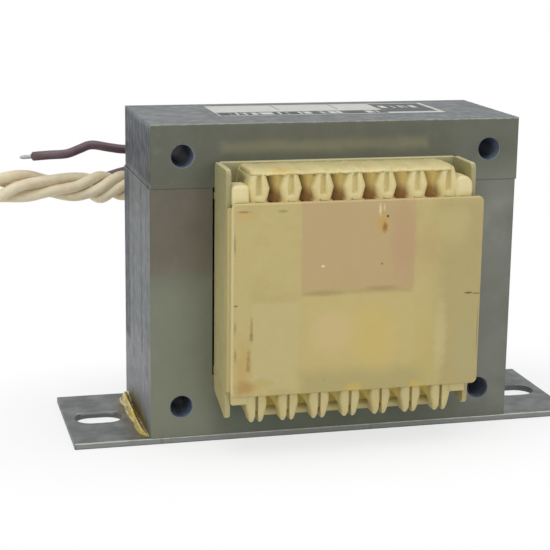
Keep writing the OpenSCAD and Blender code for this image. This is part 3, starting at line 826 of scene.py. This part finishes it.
coil_tape = Paint("coil_tape", (118, 60, 40), 0.5)
coil_tape.cloudy((80, 34, 24), 3, 0.4, 0.7, 0.7)
coil_tape.cloudy((150, 88, 56), 0.6, 0.5, 0.75, 0.5, coil_tape.stretched(0.2, 0.2, 1))
coil_tape.bump(coil_tape.clouds(0.4, 0.3, 0.7, coil_tape.stretched(0.1, 0.1, 1)), 0.1)
coil_tape = coil_tape.done()


def cream_plastic(name, base, shade, pale):
    """Moulded cream plastic: cloudy between a shade and a paler tone, with fine grain."""
    paint = Paint(name, base, 0.42, Subsurface_Weight=0.15, Subsurface_Scale=0.7 * MM)
    paint.cloudy(shade, 4, 0.42, 0.72, 0.6)
    paint.cloudy(pale, 1.8, 0.5, 0.75, 0.5)
    paint.roughen(paint.clouds(1.5), 0.36, 0.52)
    paint.bump(paint.clouds(0.5, 0.3, 0.7), 0.03, 0.4)
    return paint


def painted_channel_glow(paint, dim, bright, low, open_front):
    """Painted light: an emission glow standing for daylight through the thin roofs of the
    channels: dim over the winding, brighter towards the upper roof, low in the lower channels.
    It fades at the open front and in the depth of the upper channels."""
    tree = paint.tree
    channels = patch(paint, (0, 0, middle_height),
                     (channels_half_width, FAR, channels_half_height), 0.15)
    inside = calc(tree, "MULTIPLY", channels,
                  patch(paint, (0, 0, 0), (FAR, open_front, FAR), 1.5))
    deep = calc(tree, "MULTIPLY", 0.8, patch(paint, (0, 0, 44), (FAR, 15.6, 9), 2.6))
    inside = calc(tree, "MULTIPLY", inside, calc(tree, "SUBTRACT", 1.0, deep))
    light = mixed(tree, patch(paint, (0, 0, 5), (FAR, FAR, 8), 1), colour(*dim), colour(*low))
    light = mixed(tree, patch(paint, (0, 0, 46), (FAR, FAR, 4.6), 1.5), light, colour(*bright))
    light = mixed(tree, inside, (0, 0, 0, 1), light)
    tree.links.new(light, paint.shader.inputs["Emission Color"])
    paint.shader.inputs["Emission Strength"].default_value = 1.0


former_plastic = cream_plastic("former_plastic", (213, 199, 143), (200, 180, 115), (227, 216, 168))
former_plastic.cloudy((196, 158, 84), 1.2, 0.66, 0.78, 0.5)
# A paler band across the round-shouldered end blocks at the height of their shoulders: painted highlight.
between_blocks = patch(former_plastic, (0, 0, 42), (16.6, FAR, FAR), 0.5)
on_blocks = calc(former_plastic.tree, "SUBTRACT", 0.5,
                 calc(former_plastic.tree, "MULTIPLY", 0.5, between_blocks))
former_plastic.lay((226, 215, 170), patch(former_plastic, (0, 0, 42), (FAR, FAR, 1.3), 0.6),
                   on_blocks)
# Dark red-brown at the foot of the upper channels: painted shade, tinted like the winding that shows
# there.
lay_patch(former_plastic, (96, 44, 28), (0, 0, 40), (channels_half_width, 20.3, 1.2), 0.8, 0, 3,
          0.85)
scorch = blot(former_plastic, (-11.4, -21.5, 44.9), (2.6, 2.4, 0.9), 1.2)
former_plastic.lay((210, 176, 78), scorch, 0.7)
# Below about 12 mm, where the lower combs hang, the plastic is laid darker: painted shade, as less light
# reaches them from above.
lay_patch(former_plastic, (179, 167, 114), (0, 0, 7), (FAR, FAR, 5), 1, 0, 3, 0.6)
# Painted glow in the channels of the former.
painted_channel_glow(former_plastic, (98, 73, 43), (132, 120, 77), (104, 96, 54), 20.4)
former_plastic = former_plastic.done()
for node_name, material in (("coil_former", former_plastic), ("coil", coil_tape)):
    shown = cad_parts[node_name]
    shown.data.materials.clear()
    shown.data.materials.append(material)

# Terminal combs
# Moulded with the former: seven grooved posts before six roofed wire channels, with a
# round-shouldered block at each end. The lower posts end in two free tips; the tips of the
# upper ones have been melted down into a bar that closes their grooves.
upper_low, upper_high = node_box("front_upper_comb")
lower_low, lower_high = node_box("front_lower_comb")
flange_height = (former_head - former_foot) / 2
fused_height, fork_height = upper_high[2] - upper_low[2], lower_high[2] - lower_low[2]
post_front, post_back = -upper_low[1], 18.6
post_pitch = 5
post_count = 7
groove_half, groove_depth = 0.42, 0.65
channel_half, channel_height = 1.1, 3.6
channel_back = -upper_high[1]
upper_wall_reach, lower_wall_reach = 1.5, 2.5
roof_front, roof_drop = 19.2, 0.4
lower_roof_half = 15.9
wall_foot, wall_lean = 17.3, 1.2
inner_wall, outer_wall = 14.2, 15.7
bar_half = 16.25
bar_back, bar_foot = 14.6, 3.98
bar_slope, bar_fall = 2.8, 0.5
block_outer, block_back = 19.05, 18.0
quarter_turn = np.radians([0, 20, 45, 70, 90])


def rounded_ring(a_low, a_high, b_low, b_high, radii):
    """Rectangles, one for each row of limits, with quarter circles at their corners in the
    order (+a, +b), (-a, +b), (-a, -b), (+a, -b)."""
    turns = np.radians(np.linspace(0, 90, 6))
    most = 0.6 * np.minimum(a_high - a_low, b_high - b_low)
    a, b = [], []
    for k, (a_edge, b_edge, a_sign, b_sign) in enumerate((
        (a_high, b_high, 1, 1), (a_low, b_high, -1, 1), (a_low, b_low, -1, -1),
        (a_high, b_low, 1, -1),
    )):
        r = np.minimum(radii[k], most)
        a.append(a_edge - a_sign * r + r * np.cos(turns + k * np.pi / 2))
        b.append(b_edge - b_sign * r + r * np.sin(turns + k * np.pi / 2))
    return np.concatenate(a, axis=1), np.concatenate(b, axis=1)


def rounded_bar(low, high, axis, corner, edge):
    """A prism along one axis. Its outline is a rounded rectangle; at both ends it draws in
    along a quarter circle: drawn in by edge (1 - sin q) at edge (1 - cos q) from the end."""
    first, second = (axis + 1) % 3, (axis + 2) % 3
    q = np.radians(np.linspace(0, 90, 5))
    inset = edge * (1 - np.sin(np.append(q, q[::-1])))[:, None]
    run = np.append(low[axis] + edge * (1 - np.cos(q)), high[axis] - edge * (1 - np.cos(q[::-1])))
    a, b = rounded_ring(low[first] + inset, high[first] - inset, low[second] + inset,
                        high[second] - inset, [np.maximum(corner - inset, 0.02)] * 4)
    rings = np.zeros(a.shape + (3,))
    rings[..., axis] = run[:, None]
    rings[..., first] = a
    rings[..., second] = b
    return skin(rings)


def upright(h, left, right, front, back, radii):
    """A prism standing on end: at each height a rectangle from left to right and from front
    to back, with its corner radii (rear right, rear left, front left, front right)."""
    h, left, right, front, back = (np.broadcast_to(v, np.shape(h)).astype(float)[:, None]
                                   for v in (h, left, right, front, back))
    x, y = rounded_ring(left, right, -front, -back, radii)
    return skin(np.stack([x, y, h + 0 * x], -1))


def moulding(name, shells, face, paint, node_name, upside=1, lift=0.0):
    """One piece of several shells that are drawn at the front: the sign of face turns it to the
    rear, that of upside turns it over, and lift raises it. A single minus sign turns a shell
    inside out, so its faces are then turned back."""
    shell = joined(shells)
    shell = shell._replace(points=shell.points * [1, face, upside] + [0, 0, lift])
    shell = shell if face * upside > 0 else flipped(shell)
    made = piece(name, shell, [paint], [node_name])
    made.modifiers.new("even_shading", "WEIGHTED_NORMAL")


def fused_post(x):
    """An upper post: an upright whose front is cut by a groove of half-elliptic section. The
    groove runs out towards the foot and below the bar, and the post ends inside the bar."""
    h = np.linspace(-0.3, 4.5, 33)[:, None]
    half = np.interp(h, (0, 2, 4.2), (1.3, 1.78, 1.1))
    front = post_front - 0.4 * np.clip((h - 4.05) / 0.45, 0, 1)
    a, b = rounded_ring(x - half, x + half, -front, -post_back + 0 * h, (0.2, 0.2, 0.95, 0.7))
    foot, head = np.clip((h - 0.75) / 0.5, 0, 1), np.clip((4.1 - h) / 0.3, 0, 1)
    u = np.linspace(-1, 1, 15)
    run_out = foot ** 2 * (3 - 2 * foot) * head ** 2 * (3 - 2 * head)
    depth = groove_depth * np.sqrt(1 - u ** 2) * run_out
    front_left = 3 * a.shape[1] // 4
    a = np.concatenate([a[:, :front_left], x + groove_half * u + 0 * h, a[:, front_left:]], axis=1)
    b = np.concatenate([b[:, :front_left], depth - front, b[:, front_left:]], axis=1)
    return skin(np.stack([a, b, h + 0 * a], -1))


def melted_bar(phase, top, posts):
    """The bar of melted tips: a section carried along X, flat below and behind, whose top
    falls to the front along a quarter ellipse. Front and top swell at each post by a bell
    curve, waver by three sines, and turn in at both ends."""
    x = np.linspace(-bar_half, bar_half, 165)[:, None]
    swell = bell(x, posts, 0.85).sum(axis=1, keepdims=True)
    waver = (0.05 * np.sin(1.9 * x + phase) + 0.04 * np.sin(4.7 * x + 2 * phase)
             + 0.03 * np.sin(9.3 * x + 3 * phase))
    turn_in = 1 - np.sqrt(1 - np.clip((np.abs(x) - bar_half + 1) / 1.01, 0, 0.999) ** 2)
    front = turn_in - post_front + 0.07 - 0.07 * swell - 0.5 * waver
    head = top + 0.2 + 0.1 * swell + waver - 0.2 * turn_in
    foot = bar_foot + 0.4 * waver
    back = np.full_like(x, -bar_back)
    q = np.radians(np.linspace(0, 90, 12))[None, :]
    y = np.concatenate([back, front + bar_slope * (1 - np.sin(q)), front + 0.04, back], axis=1)
    z = np.concatenate([head, head - bar_fall * (1 - np.cos(q)), foot, foot], axis=1)
    return skin(np.stack([x + 0 * y, y, z], -1))


def fork(x, side):
    """One prong of a lower post. Its outer edge swells to a belly, narrows to a shoulder and
    rounds off at the tip; its inner edge turns outward to part the tips."""
    belly, shoulder = 2.4, fork_height - 0.5
    tip = shoulder + 0.5 * np.sin(np.linspace(0, np.pi / 2, 8)[1:])
    h = np.concatenate([np.linspace(-0.3, shoulder, 20), tip])
    rising = 1.38 + 0.32 * np.clip(h / belly, 0, 1)
    narrowing = 1.7 - 0.6 * np.clip((h - belly) / 2.7, 0, 1) ** 1.15
    rounding = 0.32 * (1 - np.sqrt(np.clip(1 - ((h - shoulder) / 0.5) ** 2, 0, 1)))
    outer = np.where(h < belly, rising, narrowing - np.where(h > shoulder, rounding, 0))
    inner = 0.22 + 0.28 * np.clip((h - 4.2) / 1.4, 0, 1) ** 1.5
    outer = np.maximum(outer, inner + 0.05)
    crown = 0.7 * np.clip((h - 4.4) / 1.2, 0, 1) ** 2
    left, right = (x + inner, x + outer) if side > 0 else (x - outer, x - inner)
    radii = (0.15, 0.2, 0.12, 0.55) if side > 0 else (0.2, 0.15, 0.55, 0.12)
    return upright(h, left, right, post_front - crown, post_back + 0.6 * crown, radii)


def channel_roof(half, top, edge=0.25):
    """The plate over the channels, whose upper edge is a quarter circle."""
    end = half - edge * (1 - np.cos(np.append(0, quarter_turn)))
    h = np.append(channel_height, top - edge + edge * np.sin(quarter_turn))
    return upright(h, -end, end, roof_front, channel_back - 0.1, (1.6, 1.6, 0.35, 0.35))


def end_walls(side, top, edge=0.3):
    """Two walls that close an upper comb at one side, the second one further out and further
    forward. They lean in towards the bar, and their upper edge is a quarter circle."""
    shoulder = top - 0.2 - edge
    h = np.append(np.linspace(-0.2, shoulder, 9)[:-1], shoulder + edge * np.sin(quarter_turn))
    outer = wall_foot - wall_lean * np.clip(h / top, 0, 1)
    outer -= np.append(np.zeros(8), edge * (1 - np.cos(quarter_turn)))
    walls = []
    for inner, front, radius in ((inner_wall, roof_front - 0.07, 0.3),
                                 (outer_wall, post_front - 0.6, 1.2)):
        left, right = (inner, outer) if side > 0 else (-outer, -inner)
        radii = (1.6, 0.2, 0.2, radius) if side > 0 else (0.2, 1.6, radius, 0.2)
        walls.append(upright(h, left, right, front, channel_back - 0.1, radii))
    return walls


def end_block(side, width, height, corner):
    """The round-shouldered block at one end of a comb."""
    inner, outer = sorted((side * (block_outer - width), side * block_outer))
    return rounded_bar((inner, -post_front, -0.9), (outer, -block_back, height), axis=1,
                       corner=corner, edge=0.5)


def terminal_comb(name, upside, face, phase, node_name):
    """A comb drawn at the upper front, then turned over and to the rear by sign."""
    posts = (np.arange(post_count) - (post_count - 1) / 2) * post_pitch
    wall = post_pitch / 2 - channel_half
    if upside > 0:
        top = fused_height - roof_drop
        wall_front = post_back + upper_wall_reach
        shells = [channel_roof(wall_foot - wall_lean, top), *end_walls(-1, top), *end_walls(1, top),
                  end_block(-1, width=2.7, height=2.6, corner=0.7),
                  end_block(1, width=3.1, height=3.1, corner=1.5),
                  *[fused_post(x) for x in posts], melted_bar(phase, top, posts)]
    else:
        wall_front = post_back + lower_wall_reach
        shells = [channel_roof(lower_roof_half, fork_height - roof_drop),
                  *[end_block(side, width=2.8, height=2.6, corner=0.3) for side in (-1, 1)],
                  *[fork(x, side) for x in posts for side in (-1, 1)]]
    shells += [rounded_bar((x - wall, -wall_front, -0.2),
                           (x + wall, -channel_back + 0.05, channel_height + 0.3),
                           axis=2, corner=0.1, edge=0.1) for x in posts]
    moulding(name, shells, face, former_plastic, node_name, upside,
             middle_height + upside * flange_height)


terminal_comb("front_upper_terminals", 1, 1, 0.0, "front_upper_comb")
terminal_comb("front_lower_terminals", -1, 1, 1.3, "front_lower_comb")
terminal_comb("rear_upper_terminals", 1, -1, 2.1, "rear_upper_comb")
terminal_comb("rear_lower_terminals", -1, -1, 3.2, "rear_lower_comb")

# Shrouds
# A thin translucent moulding on each face of the core: two cheeks beside the winding, and
# a plate above and below the combs. The dark core shows through it.
shroud_low, shroud_high = node_box("front_shroud")
shroud_foot, shroud_head = shroud_low[2], shroud_high[2]
shroud_back = -shroud_high[1]
cheek_inner, cheek_outer = 19.0, shroud_high[0]
cheek_front, cheek_lip = -shroud_low[1], 1
cheek_rise = 2.3

shroud_plastic = cream_plastic("shroud_plastic", (182, 171, 119), (168, 157, 105), (192, 186, 142))
for field in (
    ((143, 143, 104), (0, 0, 46), (FAR, FAR, 12), 9, 3, 6, 0.5),
    # Paler plates between the cheeks: painted light against the shade in the corners behind the combs.
    ((176, 172, 136), (0, 0, 26), (18.9, FAR, FAR), 0.2, 0, 3, 0.7),
    # A pale line along the top edge: painted highlight.
    ((212, 204, 160), (0, 0, shroud_head), (FAR, FAR, 0.12), 0.12, 0, 3, 0.7),
    ((150, 141, 98), (0, -21, 26), (FAR, 0.2, FAR), 0.15, 0, 3, 0.5),
):
    lay_patch(shroud_plastic, *field)
# Painted glow in the channels, seen on the shroud's plates.
painted_channel_glow(shroud_plastic, (46, 36, 22), (78, 71, 47), (46, 41, 24), 17)
shroud_plastic = shroud_plastic.done()


def shroud(name, face, node_name):
    """Two cheeks, whose lower edge rises evenly towards the core, and two plates; the sign of
    face puts it at the front or the rear."""
    shells = []
    for side in (-1, 1):
        inner, outer = sorted((side * cheek_inner, side * cheek_outer))
        cheek = rounded_bar((inner, -cheek_front, shroud_foot), (outer, -shroud_back, shroud_head),
                            axis=0, corner=0.9, edge=0.14)
        y, z = cheek.points[:, 1], cheek.points[:, 2]
        back_share = (y + cheek_front - cheek_lip) / (cheek_front - shroud_back - cheek_lip)
        z += np.where(z < middle_height, cheek_rise * np.clip(back_share, 0, 1), 0)
        shells.append(cheek)
    for foot, head in ((shroud_foot, former_foot), (former_head, shroud_head)):
        shells.append(rounded_bar((-cheek_inner - 0.1, -channel_back, foot),
                                  (cheek_inner + 0.1, -shroud_back, head),
                                  axis=1, corner=0.2, edge=0.15))
    moulding(name, shells, face, shroud_plastic, node_name)


shroud("front_shroud_moulding", 1, "front_shroud")
shroud("rear_shroud_moulding", -1, "rear_shroud")

# Covers
# A flat translucent sheet before each winding, set a little to the right, on two ribs that
# meet the cheeks. The taped winding shows through as pale and tan fields.
cover_low, cover_high = node_box("front_cover")
cover_left, cover_right = -19.3, cover_high[0]
cover_foot, cover_head = cover_low[2], cover_high[2]
cover_back, cover_front = post_front, -cover_low[1]
rib_half, rib_inset = 0.38, 0.8


def stain(paint, tone, x0, x1, z0, z1, soft, wobble, share):
    """A field of another tone on a cover, between two widths and two heights."""
    lay_patch(paint, tone, ((x0 + x1) / 2, 0, (z0 + z1) / 2),
              ((x1 - x0) / 2, FAR, (z1 - z0) / 2), soft, wobble, 2.5, share)


def spot(paint, tone, x, z, half_x, half_z, wobble, share):
    """A round stain on a cover."""
    paint.lay(tone, blot(paint, (x, 0, z), (half_x, FAR, half_z), wobble), share)


def cover_plastic(name):
    """The sheet's plastic, with a pale line down its left edge, a painted highlight along its
    top edge, and the fields behind it.
    """
    paint = cream_plastic(name, (186, 170, 112), (178, 161, 102), (192, 177, 121))
    for field in (
        ((181, 154, 110), -8.5, 9.6, 26.4, 44, 0.25, 0.2, 0.8),
        ((190, 171, 108), -8.5, 9.6, 8, 25.6, 0.6, 0.8, 0.6),
        ((166, 150, 98), 13.5, 22, 9, 40, 1.8, 1.5, 0.65),
        ((172, 155, 100), -16.4, -8.6, 24.6, 26.2, 0.7, 0.8, 0.35),
        ((190, 175, 122), -16.1, -8.6, 11.2, 24.8, 0.35, 0.3, 0.6),
        ((160, 150, 98), -8.3, 12, 9, 13.6, 1.4, 1.4, 0.6),
        ((162, 141, 90), -8.2, 9.4, 25.7, 26.4, 0.4, 0.8, 0.5),
        ((208, 195, 146), -19.45, -19.0, 8, 42, 0.12, 0.1, 0.7),
        # A pale line along the top edge: painted highlight.
        ((210, 192, 146), -22, 22, 40.0, 40.6, 0.12, 0.05, 0.35),
    ):
        stain(paint, *field)
    for field in (
        ((176, 140, 104), 8.0, 33, 3.4, 9, 0.6, 0.5),
        ((178, 153, 100), 12, 32.5, 2.8, 6.5, 0.8, 0.6),
        ((186, 168, 98), 12, 17, 3.5, 11, 0.8, 0.5),
        ((168, 161, 114), 18.4, 16, 2.8, 8.5, 0.8, 0.5),
        ((198, 184, 134), 14.2, 18, 1.5, 9, 0.8, 0.5),
        ((192, 176, 118), 15.5, 36, 4, 4.5, 0.8, 0.45),
        ((202, 178, 128), -3.2, 20, 5.5, 5.5, 0.6, 0.55),
        ((204, 178, 86), 3.0, 18.4, 5.6, 8.0, 0.8, 0.34),
        ((150, 128, 76), -5, 25.95, 4.5, 0.7, 0.6, 0.42),
        ((146, 124, 72), 4.4, 26.4, 3.8, 0.6, 0.6, 0.45),
    ):
        spot(paint, *field)
    return paint


# Marks of use on the front cover: brown runs at the left edge, a drip under the upper edge
# with two streaks of painted highlight on it, specks, a scratch at the right edge and two yellow
# drops at the lower edge.
front_cover_paint = cover_plastic("front_cover_plastic")
for mark in (
    ((184, 150, 78), -17.4, 14.8, 1.9, 5.0, 1.0, 0.55),
    ((130, 95, 52), -16.15, 21.0, 0.35, 2.4, 1.0, 0.5),
    ((118, 82, 44), -16.2, 19.6, 0.45, 1.1, 1.2, 0.5),
    ((130, 94, 50), -16.55, 16.2, 0.5, 1.6, 1.2, 0.5),
    ((114, 80, 44), -16.6, 14.7, 0.4, 1.0, 1.2, 0.5),
    ((164, 122, 58), -17.0, 11.4, 2.6, 1.7, 1.0, 0.65),
    ((178, 160, 84), -14.5, 12.2, 2.4, 1.2, 1.0, 0.6),
    ((194, 162, 94), -17.3, 38.3, 2.0, 1.4, 0.8, 0.7),
    ((134, 100, 58), -17.4, 38.95, 1.4, 0.25, 1.2, 0.7),
    ((122, 106, 68), -11.5, 38.9, 1.2, 0.3, 1.4, 0.5),
    ((124, 98, 58), -18.8, 34, 0.25, 2.4, 1.2, 0.5),
    ((84, 70, 42), -18.6, 24.6, 0.5, 0.2, 1.0, 0.85),
    ((124, 98, 58), -18.7, 21.2, 0.25, 1.3, 1.4, 0.5),
    ((116, 92, 54), -18.65, 16.8, 0.25, 1.5, 1.4, 0.55),
    ((190, 152, 76), 4.3, 36.5, 1.4, 2.2, 0.8, 0.9),
    ((140, 98, 34), 4.65, 35.9, 0.6, 1.1, 0.8, 0.95),
    # Two pale streaks on the drip: painted highlight.
    ((224, 208, 162), 3.85, 38.7, 0.3, 1.3, 1.2, 0.75),
    ((222, 206, 158), 4.5, 39.0, 0.2, 0.9, 1.2, 0.6),
    ((52, 32, 18), 5.07, 37.6, 0.3, 0.3, 0.4, 1.0),
    ((110, 80, 54), 4.35, 30.2, 0.25, 0.25, 0.6, 0.9),
    ((228, 214, 178), -5.05, 30.2, 0.4, 0.25, 0.8, 0.95),
    ((84, 62, 36), 18.7, 24.95, 1.0, 0.25, 1.4, 0.9),
    ((104, 80, 48), 20.0, 24.8, 0.9, 0.18, 1.0, 0.8),
    ((128, 112, 72), 20.36, 19, 0.14, 6, 0.8, 0.7),
    ((200, 170, 74), 0.2, 10.2, 2.0, 1.7, 0.8, 0.7),
    ((200, 170, 74), 10.3, 10.1, 1.9, 1.5, 0.8, 0.65),
    ((150, 132, 84), -4.6, 12.2, 0.35, 0.3, 1.0, 0.5),
):
    spot(front_cover_paint, *mark)
front_cover_paint = front_cover_paint.done()
rear_cover_paint = cover_plastic("rear_cover_plastic").done()


def cover(name, face, paint, node_name):
    """The sheet with rounded edges, and its two ribs."""
    shells = [rounded_bar((cover_left, -cover_front, cover_foot),
                          (cover_right, -cover_back, cover_head), axis=1, corner=0.9, edge=0.28)]
    for side in (-1, 1):
        x = side * (cheek_inner + cheek_outer) / 2
        shells.append(rounded_bar((x - rib_half, -cover_back - 0.1, cover_foot + rib_inset),
                                  (x + rib_half, -cheek_front, cover_head - rib_inset),
                                  axis=1, corner=0.1, edge=0.05))
    moulding(name, shells, face, paint, node_name)


cover("front_cover_sheet", 1, front_cover_paint, "front_cover")
cover("rear_cover_sheet", -1, rear_cover_paint, "rear_cover")

# Label
# A thin paper label stuck on top of the core, ruled into blank cells, with a dark strip
# along its front edge and a dark field at its right end, both crossed by plain pale bars.
label_left, label_right = -17.2, 20.6
label_front, label_rear = -4.6, 8.4
label_bottom, label_top = core_top - 0.02, core_top + 0.06
strip_y = label_front + 2.3

label_paper = Paint("label_paper", (198, 199, 193), 0.6)
label_paper.cloudy((178, 180, 176), 1.2, 0.45, 0.75, 0.6)
for field in (
    ((36, 40, 39), (-3, strip_y, core_top), (14, 2.0, 2), 0.15, 0.3, 1.6, 0.97),
    ((34, 39, 38), (15.4, 2.4, core_top), (4.4, 5.4, 2), 0.2, 0.5, 1.6, 0.97),
    ((70, 72, 72), (-6, 5, core_top), (0.12, 3.2, 2), 0.06, 0.0, 1.6, 0.8),
    ((70, 72, 72), (4, 5, core_top), (0.12, 3.2, 2), 0.06, 0.0, 1.6, 0.8),
):
    lay_patch(label_paper, *field)
bars = label_paper.clouds(0.95, 0.5, 0.53, label_paper.stretched(1, 0.01, 0.01))
for centre, half in (((-3, strip_y, core_top), (13.4, 1.3, 2)),
                     ((15.2, 3.6, core_top), (3.4, 1.5, 2))):
    label_paper.lay((200, 202, 197), patch(label_paper, centre, half, 0.1), bars)
label_paper.cloudy((190, 192, 188), 0.4, 0.6, 0.7, 0.4)
label_paper = label_paper.done()
label = rounded_bar((label_left, label_front, label_bottom), (label_right, label_rear, label_top),
                    axis=2, corner=0.3, edge=0.02)
piece("rating_label_blank", label, [label_paper])
